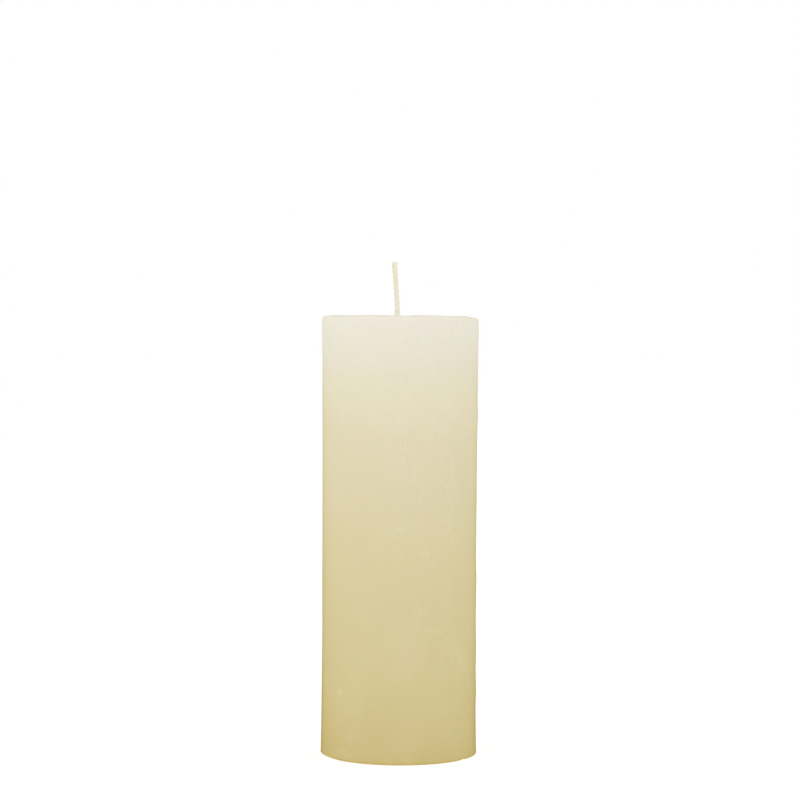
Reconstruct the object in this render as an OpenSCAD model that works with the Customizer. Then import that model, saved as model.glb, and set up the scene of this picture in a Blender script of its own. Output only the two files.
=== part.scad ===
// Pillar candle: a poured wax column on a flat foot, with a plaited cotton wick
// that runs up a bore through its whole height and leans a little above the wax.
// Millimetres, +Z up, origin at the centre of the foot.

/* [Wax column] */
// Diameter across the rim, where the column is widest
body_d = 68; // [50:1:100]
// Height from the foot to the flat of the rim
body_h = 190; // [130:1:260]
// How far the wall stands inside the rim at its waist, on the radius
waist_in = 0.6; // [0:0.1:2]
// Height of the waist, where the column is slimmest
waist_h = 60; // [40:1:110]
// How far the foot stands inside the rim, on the radius
foot_in = 0.2; // [0:0.1:1]
// Radius of the soft round along the rim
rim_round = 2.2; // [0.5:0.1:4]
// Radius of the round along the edge of the foot
foot_round = 0.8; // [0.3:0.1:3]

/* [Top face] */
// Depth of the dish that the setting wax leaves in the top
dish_depth = 0.7; // [0.1:0.1:3]
// Width of the flat ring between the dish and the round of the rim
rim_flat = 7.8; // [2:0.2:14]
// How high the wax climbs the wick above the dish
climb_h = 1.9; // [1:0.1:4]
// Width of the foot of that climb, measured out from the bore
climb_w = 1.3; // [1:0.1:4]
// Thickness of the wax at the top of the climb
climb_lip = 0.06; // [0.05:0.01:0.3]

/* [Wick] */
// Width of the plait, seen from the front
wick_w = 2.2; // [1.6:0.1:3]
// Thickness of the plait, from front to back
wick_t = 2; // [1.4:0.1:2.8]
// How far the wick stands to the left of the column's centre line
wick_offset = 1.35; // [0:0.05:8]
// Length of wick above the dish, along the wick
wick_len = 23.8; // [10:0.1:40]
// Length of wick that stands upright above the wax that climbs it
wick_upright = 1.6; // [0:0.1:5]
// Length over which the wick then bends to its lean
bend_len = 4; // [2:0.5:12]
// Angle at which the free wick leans to the left
wick_lean = 4.2; // [0.5:0.1:15]
// How far the cut lower end stands up inside the foot
wick_recess = 0.5; // [0:0.1:2]
// Depth below the dish at which the plain soaked wick becomes a plait
plait_set = 0.6; // [0.3:0.1:3]
// Gap between the wick and the wall of its bore
wick_gap = 0.05; // [0.04:0.01:0.15]

/* [Plait] */
// Width of one strand
strand_w = 1.14; // [0.7:0.02:1.3]
// Thickness of one strand
strand_t = 1.08; // [0.7:0.02:1.3]
// Length in which a strand crosses over and comes back
plait_pitch = 7.2; // [4:0.1:12]
// Diameter of the core between the strands
core_d = 1.3; // [0.8:0.02:1.5]
// Share of the grooves between the strands that soaked wax fills
wax_fill = 0.7; // [0:0.05:0.8]
// Share of its width by which the plait spreads at the cut tip
tip_spread = 0.12; // [0:0.01:0.3]
// Length over which it spreads
tip_len = 4; // [1:0.5:6]
// Height of the dome that the cut leaves on the tip
tip_dome = 0.15; // [0.05:0.05:0.5]

/* [Hidden] */
$fn = 96;

rim_r = body_d / 2;
rim_z = body_h - rim_round;
waist_r = rim_r - waist_in;
foot_r = rim_r - foot_in;
dish_r = rim_r - rim_round - rim_flat;
wick_r = max(wick_w, wick_t) / 2;
bore_r = wick_r + wick_gap;
bend_from = climb_h + wick_upright;
bend_r = bend_len / (wick_lean * PI / 180);

// Number of steps along the wall, a round, the dish and the wax climb
wall_steps = 28;
round_steps = 8;
dish_steps = 14;
climb_steps = 8;

// How far the bore is cut past the wax at each end
bore_over = 1;
// How deep the wax climb is rooted in the dish
climb_root = 1;

strands = 3;
plait_sides = 30;
ring_step = 0.3;
// How deep the plait is rooted in the plain wick, and how much slimmer it is there
plait_root = 0.9;
root_scale = 0.8;

// Radius of the wall at height z: two parabolas that meet at the waist.
function wall_r(z) =
    z < waist_h
        ? waist_r + (foot_r - waist_r) * pow((waist_h - z) / (waist_h - foot_round), 2)
        : waist_r + (rim_r - waist_r) * pow((z - waist_h) / (rim_z - waist_h), 2);

// Height of the top at distance r from the centre line: the dish is half a cosine wave.
function top_at(r) = body_h - dish_depth * (1 + cos(180 * min(1, r / dish_r))) / 2;

// Height of the dish where the wick leaves it.
wick_z = top_at(wick_offset);

// Quarter of a circle about a centre, from one angle to another.
function round_points(centre, radius, from, to) = [
    for (i = [0 : round_steps])
        let (a = from + (to - from) * i / round_steps)
        centre + radius * [cos(a), sin(a)]
];

// Half section of the column, from the centre of the foot up the wall to the dish.
function column_section() = concat(
    [[0, 0]],
    round_points([foot_r - foot_round, foot_round], foot_round, -90, 0),
    [for (i = [1 : wall_steps - 1])
        let (z = foot_round + (rim_z - foot_round) * i / wall_steps)
        [wall_r(z), z]],
    round_points([rim_r - rim_round, rim_z], rim_round, 0, 90),
    [for (i = [dish_steps : -1 : 0])
        let (r = dish_r * i / dish_steps)
        [r, top_at(r)]]
);

// Half section of the wax that climbs the wick: a hollow curve, steep at its lip.
function climb_section() = let (
    lip_r = bore_r + climb_lip,
    out_r = bore_r + climb_w
) concat(
    [[0, -climb_root], [out_r, -climb_root]],
    [for (i = [climb_steps : -1 : 0])
        let (q = i / climb_steps)
        [lip_r + (out_r - lip_r) * q * q, climb_h * (1 - q)]],
    [[0, climb_h]]
);

// Angle of the wick from upright at length s above the dish.
function spine_angle(s) = wick_lean * min(1, max(0, (s - bend_from) / bend_len));

// Place on the wick's centre line at that length: upright, then an arc, then a straight.
function spine_at(s) = let (
    a = spine_angle(s),
    past = max(0, s - bend_from - bend_len)
) [
    -bend_r * (1 - cos(a)) - past * sin(wick_lean),
    0,
    min(s, bend_from) + bend_r * sin(a) + past * cos(wick_lean)
];

// Centre of strand k at length s, across and along the depth of the plait.
// It swings to both sides once and to front and back twice in each pitch.
function strand_at(k, s) = let (turn = 360 * (s / plait_pitch + k / strands)) [
    (wick_w - strand_w) / 2 * sin(turn),
    (wick_t - strand_t) / 2 * sin(2 * turn)
];

// How far a ray from the plait's centre at angle a goes before it leaves an oval strand.
function strand_reach(a, c) = let (
    ray = [cos(a) / (strand_w / 2), sin(a) / (strand_t / 2)],
    mid = [c.x / (strand_w / 2), c.y / (strand_t / 2)],
    along = ray * mid,
    inside = along * along - (ray * ray) * (mid * mid - 1)
) inside < 0 ? 0 : (along + sqrt(inside)) / (ray * ray);

// Outline of the plait at angle a: the furthest that the core or a strand reaches,
// with part of each groove filled out to the oval that holds them all.
function plait_reach(a, s) = let (
    yarn = max(core_d / 2, max([for (k = [0 : strands - 1]) strand_reach(a, strand_at(k, s))])),
    oval = 1 / norm([cos(a) / (wick_w / 2), sin(a) / (wick_t / 2)])
) yarn + wax_fill * (oval - yarn);

// The plait is slimmer inside the plain wick and spreads smoothly towards its cut tip.
function plait_scale(s) = let (q = max(0, 1 - (wick_len - s) / tip_len))
    s < -plait_set ? root_scale : 1 + tip_spread * q * q * (3 - 2 * q);

// One ring of points round the spine at length s.
function plait_ring(s) = let (
    mid = spine_at(s),
    lean = spine_angle(s),
    size = plait_scale(s)
) [
    for (i = [0 : plait_sides - 1])
        let (
            a = 360 * i / plait_sides,
            r = size * plait_reach(a, s)
        )
        mid + r * [cos(a) * cos(lean), sin(a), cos(a) * sin(lean)]
];

// The free wick: one closed surface through all the rings, with a domed cut end.
module plait() {
    start = -plait_set - plait_root;
    rings = ceil((wick_len - start) / ring_step);
    lengths = [for (j = [0 : rings]) start + (wick_len - start) * j / rings];
    tip = wick_len + tip_dome;
    points = concat(
        [for (s = lengths) each plait_ring(s)],
        [spine_at(start), spine_at(tip)]
    );
    last = plait_sides - 1;
    base_mid = plait_sides * (rings + 1);
    faces = concat(
        [for (j = [0 : rings - 1]) for (i = [0 : last])
            let (
                n = (i + 1) % plait_sides,
                low = j * plait_sides,
                high = low + plait_sides
            )
            each [[low + i, high + i, low + n], [low + n, high + i, high + n]]],
        [for (i = [0 : last]) [base_mid, i, (i + 1) % plait_sides]],
        [for (i = [0 : last])
            let (top = rings * plait_sides)
            [base_mid + 1, top + (i + 1) % plait_sides, top + i]]
    );
    translate([-wick_offset, 0, wick_z])
        polyhedron(points = points, faces = faces);
}

// The poured column with its dish and wax climb, bored for the wick.
module wax_body() {
    color("cornsilk")
        difference() {
            union() {
                rotate_extrude() polygon(column_section());
                translate([-wick_offset, 0, wick_z])
                    rotate_extrude() polygon(climb_section());
            }
            translate([-wick_offset, 0, -bore_over])
                cylinder(r = bore_r, h = wick_z + climb_h + 2 * bore_over);
        }
}

// The cotton wick: plain where the wax has soaked and filled it, plaited above.
module wick() {
    color("ivory")
        union() {
            translate([-wick_offset, 0, wick_recess])
                cylinder(r = wick_r, h = wick_z - plait_set - wick_recess);
            plait();
        }
}

wax_body();
wick();
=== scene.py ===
"""A poured pillar candle, finished for the picture: the wax column, its plaited wick and a pale stage.

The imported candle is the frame. Every size of a piece starts from it, and the two pieces made here
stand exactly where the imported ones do.
"""
import math

import bpy
import numpy as np
from mathutils import Matrix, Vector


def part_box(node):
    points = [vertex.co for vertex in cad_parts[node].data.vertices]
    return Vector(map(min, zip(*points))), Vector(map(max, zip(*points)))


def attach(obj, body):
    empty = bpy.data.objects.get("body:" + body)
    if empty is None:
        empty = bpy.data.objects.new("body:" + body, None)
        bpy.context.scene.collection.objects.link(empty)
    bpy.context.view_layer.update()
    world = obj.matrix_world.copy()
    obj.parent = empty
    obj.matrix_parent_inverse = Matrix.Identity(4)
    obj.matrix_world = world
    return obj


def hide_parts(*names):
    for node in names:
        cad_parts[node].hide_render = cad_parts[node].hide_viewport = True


bl_info = {
    "name": "Pillar Candle",
    "version": (1, 0, 0),
    "blender": (4, 5, 0),
    "location": "View3D > Sidebar > Candle",
    "description": "Makes a poured wax column, its plaited wick and a pale stage",
    "category": "Add Mesh",
}

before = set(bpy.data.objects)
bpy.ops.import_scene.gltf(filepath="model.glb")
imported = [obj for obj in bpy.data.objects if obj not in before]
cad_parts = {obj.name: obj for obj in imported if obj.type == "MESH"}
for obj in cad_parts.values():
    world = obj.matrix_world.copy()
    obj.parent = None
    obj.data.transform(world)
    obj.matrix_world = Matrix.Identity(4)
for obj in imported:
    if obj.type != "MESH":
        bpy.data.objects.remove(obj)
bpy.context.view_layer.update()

MM = 0.001
TURN = 2 * math.pi


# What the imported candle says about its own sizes

def cad_points(node):
    """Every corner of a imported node's mesh, as rows of x, y and z."""
    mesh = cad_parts[node].data
    points = np.empty(len(mesh.vertices) * 3)
    mesh.vertices.foreach_get("co", points)
    return points.reshape(-1, 3)


def cad_sizes():
    """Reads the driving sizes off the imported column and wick.

    The wall's points are those in the outer tenth of the radius. The highest ring of the wax is the
    lip round the wick, so its middle is the wick's place.
    """
    wax = cad_points("wax_body")
    low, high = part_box("wax_body")
    reach = np.hypot(wax[:, 0], wax[:, 1])
    wall = wax[reach > 0.9 * high.x]
    wall_reach = np.hypot(wall[:, 0], wall[:, 1])
    between = (wall[:, 2] > 0.1 * high.z) & (wall[:, 2] < 0.9 * high.z)
    waist = np.argmin(np.where(between, wall_reach, np.inf))
    near_foot = wall_reach[wall[:, 2] < 2 * MM]
    lip = wax[wax[:, 2] > high.z - 0.01 * MM]
    return {
        "rim_r": high.x,
        "rim_h": float(wall[:, 2].max()),
        "waist_r": float(wall_reach[waist]),
        "waist_h": float(wall[waist, 2]),
        "foot_r": float(near_foot.max()),
        "lip_h": high.z,
        "wick_x": float(lip[:, 0].min() + lip[:, 0].max()) / 2,
        "wick_low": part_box("wick")[0].z,
    }


CAD = cad_sizes()


# Settings that a user would change

def length(name, description, default, low=0.0, high=1.0):
    """A length in metres."""
    return bpy.props.FloatProperty(
        name=name, description=description, default=default, min=low, max=high,
        precision=5, unit="LENGTH", subtype="DISTANCE")


def share(name, description, default):
    """A number from 0 to 1."""
    return bpy.props.FloatProperty(
        name=name, description=description, default=default, min=0.0, max=1.0, subtype="FACTOR")


def angle(name, description, degrees):
    """An angle, given in degrees and kept in radians."""
    return bpy.props.FloatProperty(
        name=name, description=description, default=math.radians(degrees), precision=4,
        unit="ROTATION", subtype="ANGLE")


def count(name, description, default, low=3):
    """A whole number."""
    return bpy.props.IntProperty(name=name, description=description, default=default, min=low)


def linear(red, green, blue):
    """A screen colour from 0 to 255 as the light that it stands for, from 0 to 1."""
    screen = np.array([red, green, blue]) / 255
    light = np.where(screen <= 0.04045, screen / 12.92, ((screen + 0.055) / 1.055) ** 2.4)
    return tuple(float(c) for c in light)


def tone(name, description, red, green, blue):
    """A colour, given as it looks on a screen and kept as light."""
    return bpy.props.FloatVectorProperty(
        name=name, description=description, default=linear(red, green, blue),
        size=3, min=0.0, max=1.0, subtype="COLOR")


class WaxSettings(bpy.types.PropertyGroup):
    """Sizes and colours of the wax column."""

    rim_round: length("Rim round", "Radius of the soft round along the rim", 1.4 * MM)
    fall_w: length("Fall width", "Width of the ring by the rim that falls outwards", 5.8 * MM)
    fall: length("Fall", "How far that ring falls on its way to the rim", 0.5 * MM)
    right_fall: length("Right fall", "How much more it falls on the right", 0.45 * MM)
    foot_round: length("Foot round", "Radius of the round along the foot", 0.55 * MM)
    dish_depth: length("Dish depth", "Depth of the dish in the top", 0.7 * MM)
    dish_r: length("Dish radius", "Radius of that dish", 24.0 * MM)
    climb_w: length("Climb width", "How far out the wax that climbs the wick starts", 1.3 * MM)
    bore_r: length("Bore radius", "Radius of the bore that the wick fills", 1.15 * MM)
    hug_r: length("Lip radius", "Radius at which the wax lip meets the wick", 1.06 * MM)
    swell: length("Swell", "Depth of the broad soft waves in the wall", 0.12 * MM)
    ripple: length("Ripple", "Depth of the small waves in the wall", 0.035 * MM)
    rim_sag: length("Rim sag", "How far the rim has slumped on the right", 0.24 * MM)
    front_dip: length("Front dip", "Depth of the shallow dip at the front of the rim", 0.26 * MM)
    foot_chip: length("Foot chip", "Height of the chip in the right of the foot", 0.3 * MM)
    columns: count("Columns", "Points round the column", 360)
    wall_rows: count("Wall rows", "Rows of points up the wall", 158)
    # Painted shade along the foot's bottom round, where it turns down to the floor
    shaded_edge_tone: tone("Edge", "Wax along the edge of the foot", 196, 173, 82)
    # Painted light and shade up the column: these tones make wax of one ivory lighter and paler towards
    # the rim and darker and yellower towards the foot, as light falls from above
    foot_tone: tone("Foot", "Wax just above that edge", 205, 188, 128)
    heel_tone: tone("Heel", "Wax a finger's breadth above the foot", 209, 192, 138)
    low_tone: tone("Low", "Wax a fifth of the way up", 214, 200, 151)
    middle_tone: tone("Middle", "Wax just under half way up", 220, 208, 166)
    upper_tone: tone("Upper", "Wax at three quarters of the height", 227, 218, 187)
    chest_tone: tone("Chest", "Wax at four fifths of the height", 231, 225, 197)
    shoulder_tone: tone("Shoulder", "Wax a thumb's breadth under the rim", 234, 228, 209)
    rim_tone: tone("Rim", "Wax along the rim and over the top", 239, 234, 222)
    frost: share("Frost", "Strength of the pale crystal marks", 0.28)


class WickSettings(bpy.types.PropertyGroup):
    """Sizes and colours of the wick."""

    width: length("Width", "Width of the plait, seen from the front", 2.2 * MM)
    thickness: length("Thickness", "Thickness of the plait, from front to back", 2.0 * MM)
    free: length("Free length", "Length above the dish, along the wick", 23.8 * MM)
    upright: length("Upright", "Length above the dish that stands upright", 3.5 * MM)
    bend: length("Bend", "Length over which the wick bends", 4.0 * MM)
    lean: angle("Lean", "Angle at which the free wick leans to the left", 4.2)
    strand_w: length("Strand width", "Width of one strand", 1.14 * MM)
    strand_t: length("Strand thickness", "Thickness of one strand", 1.08 * MM)
    pitch: length("Pitch", "Length in which a strand crosses over and comes back", 7.2 * MM)
    core_d: length("Core", "Diameter of the core between the strands", 1.3 * MM)
    wax_fill: share("Wax fill", "Share of each groove that soaked wax fills", 0.78)
    low_fill: share("Low fill", "Share that it fills near the wax column", 0.94)
    low_len: length("Low length", "Length above the dish over which that fades", 11.0 * MM)
    spread: share("Spread", "Share by which the plait spreads at its cut tip", 0.14)
    spread_len: length("Spread length", "Length over which it spreads", 7.0 * MM)
    fibre: length("Fibre", "Height of the fibre ridges on a strand", 0.016 * MM)
    columns: count("Columns", "Points round the wick", 144)
    plait_rows: count("Plait rows", "Rows of points up the plait", 320)
    cotton_tone: tone("Cotton", "Cotton on the crown of a strand", 242, 237, 226)
    # The soaked tone also paints shade in the grooves and on the wick's left side
    soaked_and_shaded_tone: tone("Soaked", "Cotton that has drunk wax, mostly near the tip", 226, 223, 191)


class StageSettings(bpy.types.PropertyGroup):
    """The camera, the floor and the light."""

    distance: length("Camera distance", "From the candle's axis to the camera", 1066.2 * MM, high=10.0)
    height: length("Camera height", "Height of the camera above the floor", 185.0 * MM, high=10.0)
    pitch: angle("Pitch", "How far the camera looks down", 1.702)
    roll: angle("Roll", "How far the camera is turned about its view", 0.268)
    lens: bpy.props.FloatProperty(
        name="Lens", description="Focal length on a sensor 36 mm wide", default=110.68,
        min=1.0, unit="CAMERA")
    floor: length("Floor", "Width of the floor", 6.0, high=50.0)
    sky: bpy.props.FloatProperty(
        name="Sky", description="Brightness of the white all round", default=1.0, min=0.0)
    lamp: bpy.props.FloatProperty(
        name="Lamp", description="Power of the soft lamp at the front left", default=1.4,
        min=0.0, unit="POWER")


# Shapes as whole arrays

def smooth(t):
    """Smooth step: 3t^2 - 2t^3, with t held between 0 and 1."""
    t = np.clip(t, 0.0, 1.0)
    return t * t * (3 - 2 * t)


def hump(away, half_width):
    """Raised cosine: 1 where away is 0, falling to 0 at half_width on both sides."""
    return (1 + np.cos(np.pi * np.clip(np.abs(away) / half_width, 0.0, 1.0))) / 2


def from_front(around, degrees):
    """Angle in radians between a direction and one so many degrees from the front towards the right."""
    gap = around - np.radians(np.asarray(degrees, float) - 90)
    return (gap + np.pi) % TURN - np.pi


def soft_waves(around, height, seed, waves, turns, lengths):
    """Sum of cosine waves round and up the column, from -1 to 1.

    Each wave is cos(n * around + k * height + p), with n whole turns so that it closes, and with n, k,
    the phase p and its size drawn from a seeded generator.
    """
    draw = np.random.default_rng(seed)
    total = np.zeros(np.broadcast(around, height).shape)
    sizes = 0.0
    for _ in range(waves):
        n = int(draw.integers(turns[0], turns[1] + 1))
        k = TURN / draw.uniform(*lengths) * draw.choice([-1, 1])
        size = draw.uniform(0.5, 1.0)
        total += size * np.cos(n * around + k * height + draw.uniform(0, TURN))
        sizes += size
    return total / sizes


def grid_faces(rows, columns, close_rows):
    """Quads between neighbouring points of a grid whose columns close, and its rows too if asked."""
    row = np.arange(rows if close_rows else rows - 1)[:, None]
    column = np.arange(columns)[None, :]
    low = row * columns
    high = (row + 1) % rows * columns
    after = (column + 1) % columns
    return np.stack([low + column, low + after, high + after, high + column], -1).reshape(-1, 4)


def cap_faces(rows, columns):
    """Triangles that close a grid's first and last row onto two poles, which follow its points."""
    here = np.arange(columns)
    after = (here + 1) % columns
    pole = np.full(columns, rows * columns)
    top = (rows - 1) * columns
    low = np.stack([pole, after, here], -1)
    high = np.stack([pole + 1, top + here, top + after], -1)
    return np.concatenate([low, high])


def make_mesh(name, points, faces, values=None, sharp=40.0):
    """A smooth mesh object at the origin, with edges sharp past so many degrees.

    The named values of its points become attributes.
    """
    mesh = bpy.data.meshes.new(name)
    mesh.from_pydata(points.tolist(), [], faces)
    mesh.shade_smooth()
    mesh.set_sharp_from_angle(angle=math.radians(sharp))
    for key, value in (values or {}).items():
        flat = value.astype(np.float32).ravel()
        if value.ndim == 1:
            mesh.attributes.new(key, "FLOAT", "POINT").data.foreach_set("value", flat)
        else:
            mesh.attributes.new(key, "FLOAT_VECTOR", "POINT").data.foreach_set("vector", flat)
    mesh.update()
    if mesh.validate():
        raise RuntimeError(f"the mesh of {name} has faces that don't hold")
    piece = bpy.data.objects.new(name, mesh)
    bpy.context.scene.collection.objects.link(piece)
    return piece


def settle(piece, node, material):
    """Gives a piece its finish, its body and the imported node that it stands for."""
    piece.data.materials.append(material)
    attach(piece, "root")
    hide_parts(node)


# The wax column

# Numbers of points that the parts of the column's loop are divided by
RINGS = {"foot": 14, "foot round": 8, "rim round": 11, "flat": 17, "dish": 25, "climb": 19, "bore": 9}
# Thickness of the wax at the top of its climb, and heights of the lip's own rings from its top
LIP = 0.06 * MM
LIP_RINGS = np.array([-0.01, -0.04, -0.4]) * MM
# How far the bore's rings start below the lip, and how near to it they may come
BORE_START = 1.2 * MM
BORE_GAP = 0.9 * MM
# Height above the foot over which its lift ends and the wall's waves begin, and height under the rim
# over which they end
FOOT_FADE = 3 * MM
WAVE_FADE = 2 * MM
# How far below the rim its slump fades out, and how far inside it
RIM_FADE = 14 * MM
# How far the rim is low on the left, and how far its back waves
RIM_LOW = 0.19 * MM
RIM_WAVE = 0.3 * MM
# How far the foot's edge is worn on the left, and how far it waves
FOOT_WORN = 0.24 * MM
FOOT_WAVE = 0.05 * MM
# Depth of the slow waves in the top, and share of its climb by which the wax is uneven round the wick
TOP_WAVE = 0.05 * MM
CLIMB_WAVE = 0.07
# Soft waves: seed, number of waves, fewest and most turns round, shortest and longest length. The last
# three kinds are read at height 0, where the length says nothing
SWELL_WAVES = (3, 9, (1, 6), (40 * MM, 130 * MM))
RIPPLE_WAVES = (5, 14, (7, 26), (9 * MM, 30 * MM))
DISH_WAVES = (7, 10, (1, 5), (9 * MM, 26 * MM))
CLIMB_WAVES = (8, 4, (1, 4), (1.0, 2.0))
RIM_WAVES = (11, 4, (2, 6), (1.0, 2.0))
FOOT_WAVES = (12, 6, (5, 16), (1.0, 2.0))
# Length in mm over which a trail of frost fades in at its ends
FROST_FADE = 6

# Trails of frost on the wall: pairs of height in mm and degrees from the front towards the right,
# then the half width in mm and the strength
FROST_TRAILS = (
    (((143, 3), (134, 4), (126, 7), (121, 9), (116, 14), (111, 21)), 3.2, 0.7),
    (((118, 17), (113, 18)), 2.4, 0.9),
    (((110, 17), (99, 18)), 2.6, 0.4),
    (((97, 19), (91, 21), (83, 19)), 3.4, 0.8),
    (((146, 26), (137, 26)), 1.4, 0.8),
    (((69, 15), (60, 15)), 2.2, 0.6),
    (((56, 31), (53, 37)), 2.4, 0.9),
    (((132, 43), (116, 35), (107, 39), (98, 42), (90, 47)), 2.0, 0.7),
    (((150, 132), (128, 124), (104, 131), (86, 140), (70, 138)), 3.2, 0.7),
    (((96, 176), (78, 170), (60, 178), (46, 190), (30, 186)), 3.4, 0.7),
    (((158, 232), (140, 238), (120, 230), (98, 236)), 2.8, 0.7),
    (((70, 281), (56, 288), (42, 284), (24, 293)), 3.0, 0.7),
)
# Patches of frost: height in mm, degrees, half width and half height in mm, and strength
FROST_PATCHES = (
    (116.8, 17, 1.6, 1.4, 1.5),
    (115.8, 36, 1.6, 1.8, 1.3),
    (99, 0, 2.6, 1.8, 1.3),
    (94, 43, 2.0, 2.0, 1.0),
    (90, 2, 2.6, 3.0, 0.6),
    (47, 47, 8.0, 7.5, 0.75),
    (41, 55, 5.0, 5.0, 0.6),
    (100, 30, 12.0, 22.0, 0.22),
    (57, 22, 4.2, 0.8, 1.6),
    (28.6, -48.6, 2.0, 2.0, 1.8),
    (10.5, -38, 2.6, 2.0, 0.55),
    (3.6, -45, 7.0, 2.0, 0.8),
    (1.2, -9, 3.0, 0.6, 1.0),
    (5, -25, 5.0, 2.0, 0.5),
    (42, 5, 7.0, 1.8, 0.35),
    (24, 40, 7.0, 2.4, 0.3),
    (157, 10, 6.0, 1.4, 0.5),
    (46, 210, 7.0, 3.0, 0.7),
    (126, 100, 5.0, 3.0, 0.6),
    (18, 150, 9.0, 2.4, 0.6),
)
# Low swells and hollows of the poured wall: height and half height in mm, degrees from the front and
# half width in degrees, and how far out in mm
WALL_SWELLS = (
    (183, 7, 88, 14, 0.12),
    (147, 8, 88, 14, 0.2),
    (110, 7, 88, 14, 0.08),
    (77, 6, 88, 14, 0.13),
    (71, 11, 88, 14, 0.12),
    (45, 15, 88, 16, 0.15),
    (28, 9, 88, 16, 0.22),
    (170, 14, -88, 16, -0.1),
    (74, 24, -88, 16, 0.08),
    (130, 16, 150, 18, 0.12),
    (60, 12, 205, 15, 0.14),
    (96, 10, 250, 14, 0.1),
)


def wall_swell(around, height):
    """How far out the wall stands, as a sum of raised cosines of the height and the direction."""
    out = 0.0
    for middle, half_height, degrees, half_width, rise in WALL_SWELLS:
        here = hump(height - middle * MM, half_height * MM)
        here = here * hump(from_front(around, degrees), math.radians(half_width))
        out = out + rise * MM * here
    return out


def wax_profile(s):
    """The loop that is carried round the column, as rows of radius, height, centring and part.

    It starts at the bore in the foot, goes out along the foot, round its edge, up the wall, round the
    rim, in over the flat and the dish, up the wax that climbs the wick, over the lip and down the bore.
    Centring is 0 where a ring's middle is the column's axis and 1 where it is the wick's. On the dish
    and the climb the height is left at 0, because it depends on the finished place of each point.
    """
    rim_z = CAD["rim_h"] - s.rim_round
    foot_flat = CAD["foot_r"] - s.foot_round
    climb_r = s.bore_r + s.climb_w
    rows = []

    out = smooth(np.linspace(0, 1, RINGS["foot"])) ** 0.8
    rows.append((s.bore_r + (foot_flat - s.bore_r) * out, 0 * out, 1 - out, "foot"))

    turn = np.linspace(-np.pi / 2, 0, RINGS["foot round"])[1:]
    edge = foot_flat + s.foot_round * np.cos(turn)
    rows.append((edge, s.foot_round * (1 + np.sin(turn)), 0 * turn, "wall"))

    z = np.linspace(s.foot_round, rim_z, s.wall_rows + 1)[1:-1]
    below = CAD["waist_r"] + (CAD["foot_r"] - CAD["waist_r"]) * (
        (CAD["waist_h"] - z) / (CAD["waist_h"] - s.foot_round)) ** 2
    above = CAD["waist_r"] + (CAD["rim_r"] - CAD["waist_r"]) * (
        (z - CAD["waist_h"]) / (rim_z - CAD["waist_h"])) ** 2
    rows.append((np.where(z < CAD["waist_h"], below, above), z, 0 * z, "wall"))

    turn = np.linspace(0, np.pi / 2, RINGS["rim round"])
    edge = CAD["rim_r"] - s.rim_round * (1 - np.cos(turn))
    rows.append((edge, rim_z + s.rim_round * np.sin(turn), 0 * turn, "wall"))

    flat = np.linspace(CAD["rim_r"] - s.rim_round, s.dish_r, RINGS["flat"])[1:]
    rows.append((flat, 0 * flat, 0 * flat, "top"))

    inward = np.linspace(0, 1, RINGS["dish"])[1:]
    rows.append((s.dish_r + (climb_r - s.dish_r) * inward, 0 * inward, smooth(inward), "top"))

    steep = 1 - np.linspace(0, 1, RINGS["climb"])[1:]
    lip_r = s.bore_r + LIP
    rows.append((lip_r + (climb_r - lip_r) * steep ** 2, 0 * steep, 0 * steep + 1, "climb"))

    rows.append((np.array([s.bore_r, s.hug_r, s.hug_r]), LIP_RINGS, np.ones(3), "lip"))

    down = np.linspace(CAD["lip_h"] - BORE_START, 0, RINGS["bore"])[:-1]
    rows.append((s.bore_r + 0 * down, down, 0 * down + 1, "bore"))
    return rows


def frost_of(around, z, radius):
    """Strength of the frost on the wall, from 0 to almost 2 at the brightest fleck.

    Along a trail it is a Gaussian of the distance across it, measured along the wall, and it fades in
    and out at the trail's ends. A patch is a Gaussian of both distances.
    """
    frost = np.zeros(z.shape)
    for points, half_width, strength in FROST_TRAILS:
        heights, degrees = np.array(points, float)[::-1].T
        middle = np.interp(z / MM, heights, degrees)
        away = from_front(around, middle) * radius / MM
        low_end = smooth((z / MM - heights[0] + FROST_FADE / 2) / FROST_FADE)
        ends = low_end * smooth((heights[-1] + FROST_FADE / 2 - z / MM) / FROST_FADE)
        frost = np.maximum(frost, strength * ends * np.exp(-(away / half_width) ** 2))
    for height, degrees, half_width, half_height, strength in FROST_PATCHES:
        away = from_front(around, degrees) * radius / MM
        up = z / MM - height
        patch = np.exp(-(away / half_width) ** 2 - (up / half_height) ** 2)
        frost = np.maximum(frost, strength * patch)
    return frost


def rim_drop(s, around):
    """How far the rim stands below its full height.

    It sags on the right, from 36 to 150 degrees from the front, is low on the left around 58 degrees,
    dips within 16.5 degrees of the front and waves slowly round the back.
    """
    right = np.degrees(from_front(around, 0))
    sag = s.rim_sag * smooth((right - 36) / 9) * smooth((150 - right) / 40)
    left = RIM_LOW * hump(from_front(around, -58), math.radians(26))
    dip = s.front_dip * smooth((16.5 - np.abs(right)) / 3)
    behind = smooth((1 - np.cos(from_front(around, 0))) / 2 - 0.45)
    waves = RIM_WAVE * behind * (1 + soft_waves(around, 0.0, *RIM_WAVES)) / 2
    return sag + left + dip + waves


def edge_fall(s, around, reach):
    """How far the top falls towards the rim, most on the right.

    It grows as the share of the way over the outer ring, to the power 1.15.
    """
    depth = s.fall + s.right_fall * hump(from_front(around, 95), math.radians(70))
    out = np.clip((reach - CAD["rim_r"] + s.fall_w) / s.fall_w, 0, 1)
    return depth * out ** 1.15


def foot_lift(s, around):
    """How far the edge of the foot stands above the floor.

    There is a chip 56 degrees to the right of the front, a worn corner 67 degrees to the left of it,
    and slow waves all round.
    """
    chip = s.foot_chip * hump(from_front(around, 56), math.radians(5))
    worn = FOOT_WORN * hump(from_front(around, -67), math.radians(26))
    waves = FOOT_WAVE * (1 + soft_waves(around, 0.0, *FOOT_WAVES)) / 2
    return chip + worn + waves


def wick_base(s):
    """Height of the dish where the wick leaves it, from the wax column's settings."""
    return CAD["rim_h"] - s.dish_depth * (1 + math.cos(math.pi * CAD["wick_x"] / s.dish_r)) / 2


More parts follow.
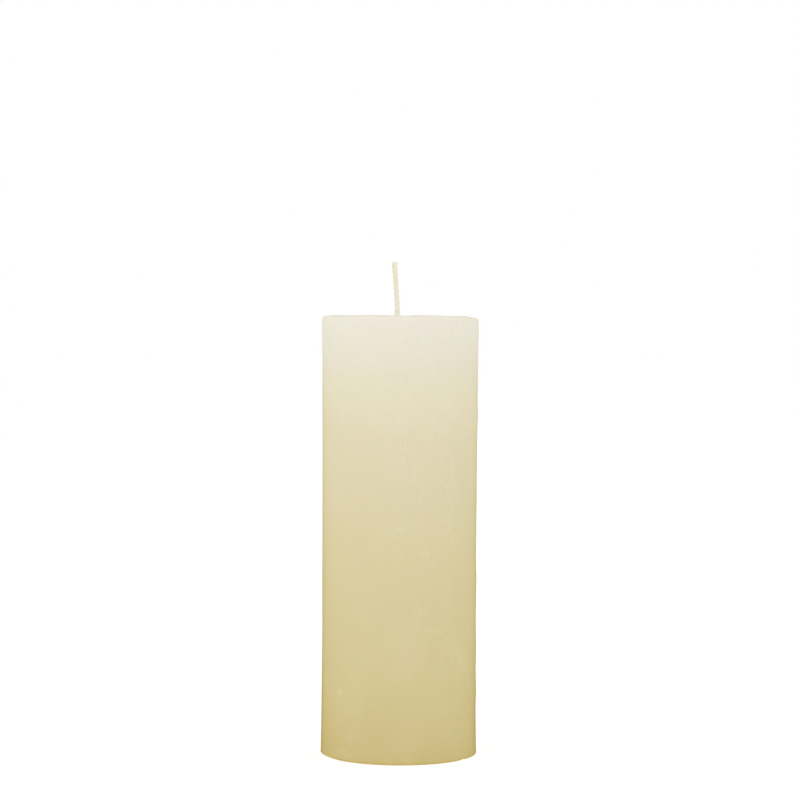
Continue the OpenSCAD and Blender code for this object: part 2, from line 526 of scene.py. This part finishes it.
def wax_surface(s):
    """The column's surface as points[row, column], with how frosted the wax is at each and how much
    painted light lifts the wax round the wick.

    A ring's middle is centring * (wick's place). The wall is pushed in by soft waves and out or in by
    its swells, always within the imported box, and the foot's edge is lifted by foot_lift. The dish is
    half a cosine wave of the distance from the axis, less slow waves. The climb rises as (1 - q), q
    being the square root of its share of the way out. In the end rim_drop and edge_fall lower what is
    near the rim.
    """
    rows = wax_profile(s)
    radius = np.concatenate([r[0] for r in rows])[:, None]
    height = np.concatenate([r[1] for r in rows])[:, None]
    centring = np.concatenate([r[2] for r in rows])[:, None]
    part = np.concatenate([[r[3]] * len(r[0]) for r in rows])[:, None]
    around = (np.arange(s.columns) * TURN / s.columns)[None, :]

    wall = part == "wall"
    inner = smooth(height / FOOT_FADE) * smooth((CAD["rim_h"] - height) / WAVE_FADE)
    waves = (1 + soft_waves(around, height, *SWELL_WAVES)) / 2 * s.swell
    waves = waves + (1 + soft_waves(around, height, *RIPPLE_WAVES)) / 2 * s.ripple
    radius = radius + np.where(wall, (wall_swell(around, height) - waves) * inner, 0.0)

    # The foot's lift is whole 0.8 mm inside its edge and gone 3.5 mm inside it
    lift = foot_lift(s, around)
    edge = smooth((radius - CAD["foot_r"] + 3.5 * MM) / (2.7 * MM)) * smooth(1 - height / FOOT_FADE)
    low = (part == "foot") | wall
    x = CAD["wick_x"] * centring + radius * np.cos(around)
    y = radius * np.sin(around)
    reach = np.hypot(x, y)

    dish = s.dish_depth * (1 + np.cos(np.pi * np.clip(reach / s.dish_r, 0, 1))) / 2
    uneven_top = TOP_WAVE * (1 + soft_waves(around, reach, *DISH_WAVES)) / 2
    uneven_top = uneven_top * smooth(reach / (6 * MM)) * smooth((CAD["rim_r"] - reach) / (3 * MM))
    top = CAD["rim_h"] - dish - uneven_top

    climb_h = CAD["lip_h"] - wick_base(s)
    lip_r = s.bore_r + LIP
    q = np.sqrt(np.clip((radius - lip_r) / (s.bore_r + s.climb_w - lip_r), 0, 1))
    uneven = 1 - CLIMB_WAVE * (1 + soft_waves(around, 0.0, *CLIMB_WAVES))
    climb = climb_h * (1 - q) * smooth((1 - q) / 0.3) * uneven
    lip_z = wick_base(s) + climb_h * uneven

    z = height + 0 * around
    z = np.where(low, z + lift * edge, z)
    z = np.where(part == "top", top, z)
    z = np.where(part == "climb", top + climb, z)
    z = np.where(part == "lip", lip_z + height, z)
    bore_end = (part == "bore") & (height > lip_z.min() - 2 * MM)
    z = np.where(bore_end, np.minimum(z, lip_z - BORE_GAP), z)

    high_up = smooth((z - CAD["rim_h"] + RIM_FADE) / RIM_FADE)
    near_rim = high_up * smooth((reach - RIM_FADE) / RIM_FADE)
    fall = edge_fall(s, around, reach) * high_up
    z = z - (rim_drop(s, around) * near_rim + fall) * (part != "foot")
    frost = np.where(wall, frost_of(around, z, radius), 0.0)
    # Painted light: the wax that climbs the wick is lifted, whole on the lip, against the shade between
    # the wick and the dish
    climb_light = np.where(part == "lip", 1.0, np.where(part == "climb", smooth(1.2 * (1 - q)), 0.0))
    points = np.stack([x, y, np.broadcast_to(z, x.shape)], -1)
    return points, {"frost": frost.ravel(), "climb_light": (climb_light + 0 * around).ravel()}


class CANDLE_OT_wax_column(bpy.types.Operator):
    """Make the poured wax column with its dish, its rim and the wax that climbs the wick."""

    bl_idname = "candle.wax_column"
    bl_label = "Wax Column"

    def execute(self, context):
        s = context.scene.candle_wax
        points, values = wax_surface(s)
        rows, columns = points.shape[:2]
        faces = grid_faces(rows, columns, close_rows=True).tolist()
        piece = make_mesh("wax_column", points.reshape(-1, 3), faces, values=values)
        settle(piece, "wax_body", candle_wax(s))
        return {"FINISHED"}


# The wick

# Rows of points up the rod in the bore, and rows that the cut tip is divided by
ROD_ROWS = 14
TIP_ROWS = 13
# Length in which the rod turns into the plait, and how far under the dish that ends
TURNING = 1.2 * MM
PLAIT_START = 0.2 * MM
# Depth of groove that counts as full
FULL_GROOVE = 0.3 * MM
# Fibre ridges: how many round a strand, length of one turn round it, share of the height and shift
# from strand to strand
RIDGES = ((9, 5.5 * MM, 1.0, 2.1), (17, -3.1 * MM, 0.6, 1.3))
# Height of the ridges, and how far the plait draws in to make room for them, in fibre heights
RIDGE_SHARE = 0.6
RIDGE_ROOM = 1.3
# How far apart the strands lie in the yarn's own coordinates
YARN_APART = 5 * MM
# Soaking in a full groove, partly wax and partly painted shade in the crease, soaking on the upper wick,
# and painted shade on its left side
GROOVE_SOAK_AND_SHADE = 0.3
SOAK_UPPER = 0.35
LEFT_SHADE = 0.45
# Height of the cut tip's dome, and height and half width of a strand's tuft on it
DOME = 0.04 * MM
TUFT = 0.05 * MM
TUFT_R = 0.36 * MM


def spine(s, along):
    """Place and lean of the wick's middle line at lengths above the dish.

    It stands upright, then follows an arc of radius bend / lean, then a straight towards -X.
    """
    lean = s.lean * np.clip((along - s.upright) / s.bend, 0, 1)
    past = np.maximum(0, along - s.upright - s.bend)
    radius = s.bend / s.lean
    x = -radius * (1 - np.cos(lean)) - past * math.sin(s.lean)
    z = np.minimum(along, s.upright) + radius * np.sin(lean) + past * math.cos(s.lean)
    return x, z, lean


def plait_section(s, around, along):
    """Reach of the yarn and of the outer oval in each direction, the strand there and the turn round it.

    Strand k's middle swings across as sin(t) and in depth as sin(2t), t being 2 pi (along / pitch +
    k / 3). A ray from the plait's middle leaves an oval strand where the usual quadratic says. The
    yarn's reach is the furthest of the strands and the core.
    """
    ray_x = np.cos(around) / (s.strand_w / 2)
    ray_y = np.sin(around) / (s.strand_t / 2)
    ray = ray_x ** 2 + ray_y ** 2
    reaches, turned = [], []
    for k in range(3):
        t = TURN * (along / s.pitch + k / 3)
        across = (s.width - s.strand_w) / 2 * np.sin(t)
        deep = (s.thickness - s.strand_t) / 2 * np.sin(2 * t)
        mid_x = across / (s.strand_w / 2)
        mid_y = deep / (s.strand_t / 2)
        projected = ray_x * mid_x + ray_y * mid_y
        inside = projected ** 2 - ray * (mid_x ** 2 + mid_y ** 2 - 1)
        reach = np.where(inside < 0, 0.0, (projected + np.sqrt(np.maximum(inside, 0))) / ray)
        reaches.append(reach)
        turned.append(np.arctan2(reach * np.sin(around) - deep, reach * np.cos(around) - across))
    reaches.append(np.full(np.broadcast(around, along).shape, s.core_d / 2))
    turned.append(around + 0 * along)
    reaches, turned = np.stack(reaches), np.stack(turned)
    strand = np.argmax(reaches, axis=0)
    yarn = np.take_along_axis(reaches, strand[None], 0)[0]
    yarn_turn = np.take_along_axis(turned, strand[None], 0)[0]
    oval = 1 / np.hypot(np.cos(around) / (s.width / 2), np.sin(around) / (s.thickness / 2))
    return yarn, oval, strand, yarn_turn


def wick_surface(s, base):
    """The wick's surface as points[row, column], with its soaking and painted shade and the yarn's own
    coordinates.

    Up to the dish, at the height base, it is the plain soaked rod, which turns into the plait just under
    it. Wax fills a share of each groove, more near the dish, and fibre ridges run along each strand.
    Soaking and painted shade run together from 0 to 1: they grow in the grooves, where it is partly
    soaking and partly painted shade, towards the tip, where it is soaking, and on the left, where it is
    painted shade.
    """
    rod = np.linspace(CAD["wick_low"] - base, -TURNING - PLAIT_START, ROD_ROWS)
    plait = np.linspace(-TURNING - PLAIT_START, s.free, s.plait_rows + 1)[1:]
    along = np.concatenate([rod, plait])[:, None]
    around = (np.arange(s.columns) * TURN / s.columns)[None, :]

    yarn, oval, strand, yarn_turn = plait_section(s, around, along)
    fill = s.wax_fill + (s.low_fill - s.wax_fill) * smooth(1 - along / s.low_len)
    reach = yarn + fill * (oval - yarn)
    ridges = 0.0
    for number, turn_length, size, shift in RIDGES:
        turned = number * yarn_turn + TURN * along / turn_length + shift * strand
        ridges = ridges + size * np.cos(turned)
    groove = np.clip((oval - yarn) / FULL_GROOVE, 0, 1)
    reach = reach + s.fibre * ridges * (1 - groove) * RIDGE_SHARE - RIDGE_ROOM * s.fibre

    toward_tip = np.maximum(0, 1 - (s.free - along) / s.spread_len)
    reach = reach * (1 + s.spread * smooth(toward_tip))
    plain = smooth((-PLAIT_START - along) / TURNING)
    reach = reach * (1 - plain) + s.width / 2 * plain

    x, z, lean = spine(s, along)
    side = reach * np.cos(around)
    points = np.stack([
        CAD["wick_x"] + x + side * np.cos(lean),
        reach * np.sin(around) + 0 * along,
        base + z + side * np.sin(lean)], -1)
    yarn_place = np.stack([
        yarn_turn * s.strand_w / 2, along + 0 * around, (strand + 1) * YARN_APART], -1)
    upper = smooth((along / s.free - 0.2) / 0.4)
    # Painted shade on the wick's left side, which is darker and more yellow
    shaded_left = smooth(-np.cos(around))
    soak_and_shade = GROOVE_SOAK_AND_SHADE * groove + SOAK_UPPER * upper + LEFT_SHADE * shaded_left + plain
    soak_and_shade = np.clip(soak_and_shade, 0, 1)
    return points, soak_and_shade, yarn_place


def wick_tip(s, last_ring, soak_and_shade, yarn_place):
    """Rings that close the cut tip: the last ring shrinks to its middle and rises into a low dome.

    Each strand's end adds a tuft, a low Gaussian hump round that strand's middle.
    """
    lean = float(spine(s, np.float64(s.free))[2])
    middle = last_ring.mean(axis=0)
    share_out = np.cos(np.linspace(0, np.pi / 2, TIP_ROWS)[1:-1])[:, None, None]
    rings = middle + (last_ring - middle) * share_out
    away = rings - middle
    across, deep = away[..., 0], away[..., 1]
    rise = DOME * (1 - share_out[..., 0] ** 2)
    for k in range(3):
        t = TURN * (s.free / s.pitch + k / 3)
        from_x = across - (s.width - s.strand_w) / 2 * math.sin(t)
        from_y = deep - (s.thickness - s.strand_t) / 2 * math.sin(2 * t)
        tuft = np.exp(-(from_x ** 2 + from_y ** 2) / TUFT_R ** 2)
        rise = rise + TUFT * tuft * (1 - share_out[..., 0] ** 6)
    rings[..., 0] -= rise * math.sin(lean)
    rings[..., 2] += rise * math.cos(lean)
    pole = rings[-1].mean(axis=0)
    copies = len(rings)
    return rings, pole, np.repeat(soak_and_shade[-1:], copies, 0), np.repeat(yarn_place[-1:], copies, 0)


class CANDLE_OT_plaited_wick(bpy.types.Operator):
    """Make the plaited cotton wick, from its cut end in the foot to its cut tip."""

    bl_idname = "candle.plaited_wick"
    bl_label = "Plaited Wick"

    def execute(self, context):
        s = context.scene.candle_wick
        points, soak_and_shade, yarn_place = wick_surface(s, wick_base(context.scene.candle_wax))
        tip, pole, tip_soak_and_shade, tip_place = wick_tip(s, points[-1], soak_and_shade, yarn_place)
        points = np.concatenate([points, tip])
        soak_and_shade = np.concatenate([soak_and_shade, tip_soak_and_shade])
        yarn_place = np.concatenate([yarn_place, tip_place])
        rows, columns = soak_and_shade.shape
        faces = grid_faces(rows, columns, close_rows=False).tolist() + cap_faces(rows, columns).tolist()
        low_pole = points[0].mean(axis=0)
        points = np.concatenate([points.reshape(-1, 3), [low_pole, pole]])
        # The pole in the foot is soaked through, and the one in the cut tip has half the soaking and
        # painted shade
        values = {
            "soak_and_shade": np.append(soak_and_shade.ravel(), [1.0, 0.5]),
            "yarn": np.concatenate([yarn_place.reshape(-1, 3), np.zeros((2, 3))]),
        }
        piece = make_mesh("plaited_wick", points, faces, values, sharp=75.0)
        settle(piece, "wick", waxed_cotton(s))
        return {"FINISHED"}


# Finishes

# Mottles of the wax and the cotton: scale of the noise, the two values between which it passes from
# 0 to 1, and its detail
CLOUDS = (55, 0.35, 0.7, 4)
SPECKS = (620, 0.34, 0.66, 5)
STROKES = (1300, 0.44, 0.64, 4)
BREAKS = (260, 0.36, 0.58, 3)
SCUFFS = (1500, 0.4, 0.6, 4)
GRAIN = (700, 0.3, 0.7, 2)
FIBRES = (9000, 0.3, 0.7, 3)
SOAKED_PATCHES = (420, 0.42, 0.62, 2)
PAPER = (3, 0.2, 0.8, 2)

# What the wax is tinted with: the share of it where its mask is full, and its colour
CRYSTAL_TONE = (0.9, 0.86, 0.74)
CLOUD_TINT = (0.07, (0.86, 0.8, 0.66))
SPECK_TINT = (0.05, (0.56, 0.45, 0.2))
SCUFF_TINT = (0.12, (0.5, 0.41, 0.19))
HAZE_TINT = (0.05, CRYSTAL_TONE)
# Painted light on the wax that climbs the wick, against the shade between the wick and the dish
CLIMB_LIGHT_TINT = (0.95, (1.0, 0.935, 0.82))
# The zone of scuffs and haze: two strengths of frost, and how strong the zone is at each
FROST_ZONE = (0.0, 0.7, 0.12, 1.0)

# Painted shade along the outline: the colour that light keeps on its way through a tinted coat, met head
# on. At a slant it keeps less, so the wax looks darker and yellower towards its outline.
OUTLINE_SHADE_TINT = (0.953, 0.938, 0.85)
# Light that reaches an upright wall on the stage, as a share of the white behind it
ROOM = 1.065
# Loss of the coat's painted outline shade from foot to rim, and the part of it that is left past two
# shares of the height
OUTLINE_SHADE_LOSS = 0.7
OUTLINE_SHADE_END = (0.82, 0.99)
OUTLINE_SHADE_LEFT = 0.55
# Heights between which the darker golden tone along the foot's bottom round, painted shade, fades out
SHADED_EDGE_END = (0.5 * MM, 0.95 * MM)


def feed(tree, socket, value):
    """Links a socket to another one, or gives it a plain value."""
    if isinstance(value, bpy.types.NodeSocket):
        tree.links.new(value, socket)
    else:
        socket.default_value = value


def feed_all(tree, node, inputs):
    """Feeds a node's inputs, given by name or number."""
    for key, value in inputs.items():
        feed(tree, node.inputs[key], value)


def add_node(tree, kind, inputs=None, **settings):
    """Adds a node with its settings, and fills its inputs."""
    node = tree.nodes.new(kind)
    for key, value in settings.items():
        setattr(node, key, value)
    feed_all(tree, node, inputs or {})
    return node


def new_finish(name):
    """An empty material, its tree and its Principled shader."""
    material = bpy.data.materials.new(name)
    material.use_nodes = True
    tree = material.node_tree
    return material, tree, tree.nodes["Principled BSDF"]


def mottle_group():
    """Shared effect: soft patches where a noise passes from Low to High, put out as a mask."""
    group = bpy.data.node_groups.get("soft_mottle")
    if group:
        return group
    group = bpy.data.node_groups.new("soft_mottle", "ShaderNodeTree")
    for name, kind, default in (
            ("Vector", "NodeSocketVector", None), ("Scale", "NodeSocketFloat", 100.0),
            ("Detail", "NodeSocketFloat", 3.0), ("Low", "NodeSocketFloat", 0.4),
            ("High", "NodeSocketFloat", 0.6)):
        socket = group.interface.new_socket(name, in_out="INPUT", socket_type=kind)
        if default is not None:
            socket.default_value = default
    group.interface.new_socket("Mask", in_out="OUTPUT", socket_type="NodeSocketFloat")
    start = group.nodes.new("NodeGroupInput")
    end = group.nodes.new("NodeGroupOutput")
    given = start.outputs
    noise = add_node(group, "ShaderNodeTexNoise", {
        "Vector": given["Vector"], "Scale": given["Scale"], "Detail": given["Detail"],
        "Roughness": 0.55})
    step = add_node(group, "ShaderNodeMapRange", {
        "Value": noise.outputs["Fac"], "From Min": given["Low"], "From Max": given["High"]},
        interpolation_type="SMOOTHSTEP")
    group.links.new(step.outputs["Result"], end.inputs["Mask"])
    return group


def add_mottle(tree, vector, scale, low, high, detail):
    """Places the shared mottle on a coordinate and returns its mask."""
    node = add_node(tree, "ShaderNodeGroup", {
        "Vector": vector, "Scale": scale, "Low": low, "High": high, "Detail": detail},
        node_tree=mottle_group())
    return node.outputs["Mask"]


def add_stretch(tree, vector, scale):
    """Stretches a coordinate: a pattern on it becomes 1 / scale times as long."""
    return add_node(tree, "ShaderNodeMapping", {"Vector": vector, "Scale": scale}).outputs["Vector"]


def add_range(tree, value, start, end, first, last, **settings):
    """Carries what lies from start to end over to first to last, and holds it there."""
    node = add_node(tree, "ShaderNodeMapRange", {
        "Value": value, "From Min": start, "From Max": end, "To Min": first, "To Max": last},
        **settings)
    return node.outputs["Result"]


def add_maths(tree, operation, first, second):
    """One step of arithmetic on two sockets or numbers."""
    node = add_node(tree, "ShaderNodeMath", {0: first, 1: second}, operation=operation)
    return node.outputs["Value"]


def add_mix(tree, share_of, first, second):
    """Mixes two colours by a mask. The node has several sockets of a name, so they go by number."""
    node = add_node(
        tree, "ShaderNodeMix", {0: share_of, 6: first, 7: second}, data_type="RGBA", blend_type="MIX")
    return node.outputs[2]


def add_tint(tree, under, mask, amount, colour):
    """Lays a colour over another by an amount of a mask."""
    return add_mix(tree, add_maths(tree, "MULTIPLY", mask, amount), under, opaque(colour))


def add_bump(tree, height, strength, distance):
    """The normal of a fine relief."""
    node = add_node(tree, "ShaderNodeBump", {
        "Height": height, "Strength": strength, "Distance": distance})
    return node.outputs["Normal"]


def add_value(tree, name, output="Fac"):
    """One of the values that the piece's own points carry."""
    return add_node(tree, "ShaderNodeAttribute", attribute_name=name).outputs[output]


def opaque(colour):
    """A colour with a full alpha."""
    return (*colour, 1.0)


def outline_shade_at(height):
    """Strength of the coat that paints shade along the outline, at a share of the height: whole at the
    foot and least at the rim.
    """
    ending = smooth((height - OUTLINE_SHADE_END[0]) / (OUTLINE_SHADE_END[1] - OUTLINE_SHADE_END[0]))
    return float((1 - OUTLINE_SHADE_LOSS * height) * (1 - (1 - OUTLINE_SHADE_LEFT) * ending))


def under_outline_shade(colour, outline_shade):
    """The wax's colour under the coat that paints shade along the outline, for the two to look like the
    given one on the stage.
    """
    return tuple(min(1.0, c / ROOM / (1 - outline_shade * (1 - t))) for c, t in zip(colour, OUTLINE_SHADE_TINT))


def candle_wax(s):
    """Ivory wax with painted light and shade: lighter and paler at the rim, darker and yellower at the
    foot, under a tinted coat that paints shade along the outline.

    A ramp up Object Z gives the colour, with painted light from above and painted shade towards the
    foot, and the lowest millimetre is mixed to a darker golden tone, painted shade along the foot's
    bottom round. Clouds and specks vary it. Where the piece's own values say frost, scuffs dull it, a
    haze lifts it, and crystals show where the frost meets coarse breaks and fine upright strokes. The
    wax that climbs the wick is painted lighter, painted light against the shade between the wick and the
    dish. The coat has no gloss of its own and tints light more the further it travels through it, so it
    paints shade along the outline, darker and yellower at a slant. It is whole at the foot and weakest
    at the rim.
    """
    material, tree, shader = new_finish("candle_wax")
    place = add_node(tree, "ShaderNodeTexCoord").outputs["Object"]
    upright = add_stretch(tree, place, (1, 1, 0.5))
    z = add_node(tree, "ShaderNodeSeparateXYZ", {"Vector": place}).outputs["Z"]
    up = add_range(tree, z, 0.0, CAD["rim_h"], 0.0, 1.0)

    # Painted light and shade: the ramp runs from darker, yellower wax at the foot to lighter, paler wax
    # at the rim, as light falls from above
    ramp = add_node(tree, "ShaderNodeValToRGB", {"Fac": up})
    stops = (
        (0.0, s.foot_tone), (0.055, s.heel_tone), (0.19, s.low_tone), (0.455, s.middle_tone),
        (0.72, s.upper_tone), (0.82, s.chest_tone), (0.892, s.shoulder_tone), (1.0, s.rim_tone))
    ramp.color_ramp.interpolation = "LINEAR"
    elements = ramp.color_ramp.elements
    for height, _ in stops[1:-1]:
        elements.new(height)
    for element, (height, wax) in zip(elements, stops):
        element.position = height
        element.color = opaque(under_outline_shade(wax, outline_shade_at(height)))
    colour = ramp.outputs["Color"]
    # Painted shade: the lowest millimetre is mixed to the darker golden edge tone
    edge = add_range(tree, z, *SHADED_EDGE_END, 1.0, 0.0)
    colour = add_mix(tree, edge, colour, opaque(under_outline_shade(s.shaded_edge_tone, outline_shade_at(0.0))))

    clouds = add_mottle(tree, add_stretch(tree, place, (1, 1, 0.6)), *CLOUDS)
    colour = add_tint(tree, colour, clouds, *CLOUD_TINT)
    colour = add_tint(tree, colour, add_mottle(tree, upright, *SPECKS), *SPECK_TINT)

    frost = add_value(tree, "frost")
    zone = add_range(tree, frost, *FROST_ZONE)
    scuffs = add_mottle(tree, add_stretch(tree, place, (1, 1, 0.7)), *SCUFFS)
    colour = add_tint(tree, colour, add_maths(tree, "MULTIPLY", zone, scuffs), *SCUFF_TINT)
    colour = add_tint(tree, colour, zone, *HAZE_TINT)
    crystals = add_maths(tree, "MULTIPLY", frost, add_mottle(tree, place, *BREAKS))
    crystals = add_maths(tree, "MULTIPLY", crystals, add_mottle(tree, upright, *STROKES))
    colour = add_tint(tree, colour, crystals, s.frost, CRYSTAL_TONE)
    # Painted light on the wax round the wick
    colour = add_tint(tree, colour, add_value(tree, "climb_light"), *CLIMB_LIGHT_TINT)

    grain = add_maths(tree, "MULTIPLY", add_mottle(tree, place, *GRAIN), 0.25)
    relief = add_maths(tree, "ADD", grain, crystals)
    matt = add_maths(tree, "MAXIMUM", crystals, add_maths(tree, "MULTIPLY", clouds, 0.5))
    # Coat weight: painted shade along the outline, strongest at the foot and weakest at the rim
    outline_shade = add_range(tree, up, 0.0, 1.0, 1.0, 1.0 - OUTLINE_SHADE_LOSS)
    ending = add_range(tree, up, *OUTLINE_SHADE_END, 1.0, OUTLINE_SHADE_LEFT, interpolation_type="SMOOTHSTEP")
    feed_all(tree, shader, {
        "Base Color": colour,
        "Roughness": add_range(tree, matt, 0.0, 1.0, 0.5, 0.66),
        "Normal": add_bump(tree, relief, 0.5, 0.03 * MM),
        "Coat Weight": add_maths(tree, "MULTIPLY", outline_shade, ending),
        "Coat IOR": 1.0,
        "Coat Roughness": 0.7,
        "Coat Tint": opaque(OUTLINE_SHADE_TINT),
        "IOR": 1.44,
        "Specular IOR Level": 0.12,
        "Subsurface Weight": 0.25,
        "Subsurface Radius": (1.0, 0.65, 0.35),
        "Subsurface Scale": 3 * MM,
    })
    return material


def waxed_cotton(s):
    """Cotton and wax: pale on the crown of each strand, warmer where it is soaked and where shade is
    painted in the grooves and on the left side, with fine fibres.
    """
    material, tree, shader = new_finish("waxed_cotton")
    place = add_node(tree, "ShaderNodeTexCoord").outputs["Object"]
    along_yarn = add_stretch(tree, add_value(tree, "yarn", "Vector"), (1, 0.12, 1))
    fibres = add_mottle(tree, along_yarn, *FIBRES)
    patches = add_mottle(tree, place, *SOAKED_PATCHES)
    soak_and_shade = add_value(tree, "soak_and_shade")
    # Soaking mixed with painted shade in the grooves and on the wick's left side
    soak_shade_mix = add_maths(tree, "ADD", soak_and_shade, add_maths(tree, "MULTIPLY", patches, 0.2))
    soak_shade_mix = add_maths(tree, "ADD", soak_shade_mix, add_maths(tree, "MULTIPLY", fibres, -0.15))
    soak_shade_mix = add_node(tree, "ShaderNodeClamp", {"Value": soak_shade_mix}).outputs["Result"]
    feed_all(tree, shader, {
        "Base Color": add_mix(tree, soak_shade_mix, opaque(s.cotton_tone), opaque(s.soaked_and_shaded_tone)),
        "Roughness": add_range(tree, soak_shade_mix, 0.0, 1.0, 0.72, 0.5),
        "Normal": add_bump(tree, fibres, 0.35, 0.015 * MM),
        "Specular IOR Level": 0.2,
        "Subsurface Weight": 0.3,
        "Subsurface Radius": (1.0, 0.7, 0.45),
        "Subsurface Scale": 0.5 * MM,
        "Sheen Weight": 0.1,
        "Sheen Roughness": 0.5,
    })
    return material


def white_floor():
    """A matt floor with a little light of its own, so that it meets the white behind it unseen."""
    material, tree, shader = new_finish("white_floor")
    place = add_node(tree, "ShaderNodeTexCoord").outputs["Object"]
    paper = add_mottle(tree, place, *PAPER)
    feed_all(tree, shader, {
        "Base Color": add_mix(tree, paper, (0.24, 0.24, 0.24, 1), (0.26, 0.26, 0.26, 1)),
        "Roughness": 1.0,
        "Specular IOR Level": 0.0,
        "Emission Color": (1, 1, 1, 1),
        "Emission Strength": 0.8,
    })
    return material


# The stage

# How far the floor lies under the foot, so that the two faces don't share a place
FLOOR_GAP = 0.02 * MM
# Width and place of the lamp, and how it is turned
LAMP_WIDTH = 0.9
LAMP_PLACE = (-0.65, -1.2, 1.0)
LAMP_TURN = (math.radians(56), 0.0, math.radians(-28.4))


class CANDLE_OT_stage(bpy.types.Operator):
    """Set the camera, the pale floor, the white all round and one soft lamp."""

    bl_idname = "candle.stage"
    bl_label = "Stage"

    def execute(self, context):
        s = context.scene.candle_stage
        scene = context.scene

        camera = bpy.data.objects.new("camera", bpy.data.cameras.new("camera"))
        scene.collection.objects.link(camera)
        camera.data.lens = s.lens
        camera.data.sensor_width = 36.0
        camera.data.clip_start = 0.01
        camera.data.clip_end = 100.0
        camera.data.dof.use_dof = False
        looking = Matrix.Rotation(math.pi / 2 - s.pitch, 4, "X") @ Matrix.Rotation(s.roll, 4, "Z")
        camera.matrix_world = Matrix.Translation((0.0, -s.distance, s.height)) @ looking
        scene.camera = camera

        half, low = s.floor / 2, -FLOOR_GAP
        corners = [[-half, -half, low], [half, -half, low], [half, half, low], [-half, half, low]]
        floor = make_mesh("floor", np.array(corners), [[0, 1, 2, 3]])
        floor.data.materials.append(white_floor())

        lamp = bpy.data.objects.new("lamp", bpy.data.lights.new("lamp", "AREA"))
        scene.collection.objects.link(lamp)
        lamp.data.shape = "DISK"
        lamp.data.size = LAMP_WIDTH
        lamp.data.energy = s.lamp
        lamp.location = LAMP_PLACE
        lamp.rotation_euler = LAMP_TURN

        world = bpy.data.worlds.new("white")
        world.use_nodes = True
        sky = world.node_tree.nodes["Background"]
        sky.inputs["Color"].default_value = (1, 1, 1, 1)
        sky.inputs["Strength"].default_value = s.sky
        scene.world = world
        scene.view_settings.view_transform = "Standard"
        scene.view_settings.look = "None"
        scene.view_settings.exposure = 0.0
        scene.view_settings.gamma = 1.0
        return {"FINISHED"}


class CANDLE_PT_sidebar(bpy.types.Panel):
    """Lists the candle's pieces and their settings."""

    bl_label = "Pillar Candle"
    bl_idname = "CANDLE_PT_sidebar"
    bl_space_type = "VIEW_3D"
    bl_region_type = "UI"
    bl_category = "Candle"

    def draw(self, context):
        for operator, settings in (
                (CANDLE_OT_wax_column, context.scene.candle_wax),
                (CANDLE_OT_plaited_wick, context.scene.candle_wick),
                (CANDLE_OT_stage, context.scene.candle_stage)):
            box = self.layout.box()
            box.operator(operator.bl_idname)
            for name in settings.__annotations__:
                box.prop(settings, name)


CLASSES = (
    WaxSettings, WickSettings, StageSettings,
    CANDLE_OT_wax_column, CANDLE_OT_plaited_wick, CANDLE_OT_stage, CANDLE_PT_sidebar)


def register():
    """Makes the classes known and gives every scene its candle settings."""
    for cls in CLASSES:
        bpy.utils.register_class(cls)
    bpy.types.Scene.candle_wax = bpy.props.PointerProperty(type=WaxSettings)
    bpy.types.Scene.candle_wick = bpy.props.PointerProperty(type=WickSettings)
    bpy.types.Scene.candle_stage = bpy.props.PointerProperty(type=StageSettings)


def unregister():
    """Takes them away again."""
    del bpy.types.Scene.candle_stage
    del bpy.types.Scene.candle_wick
    del bpy.types.Scene.candle_wax
    for cls in reversed(CLASSES):
        bpy.utils.unregister_class(cls)


def main():
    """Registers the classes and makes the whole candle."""
    register()
    bpy.ops.candle.stage()
    bpy.ops.candle.wax_column()
    bpy.ops.candle.plaited_wick()


if __name__ == "__main__":
    main()
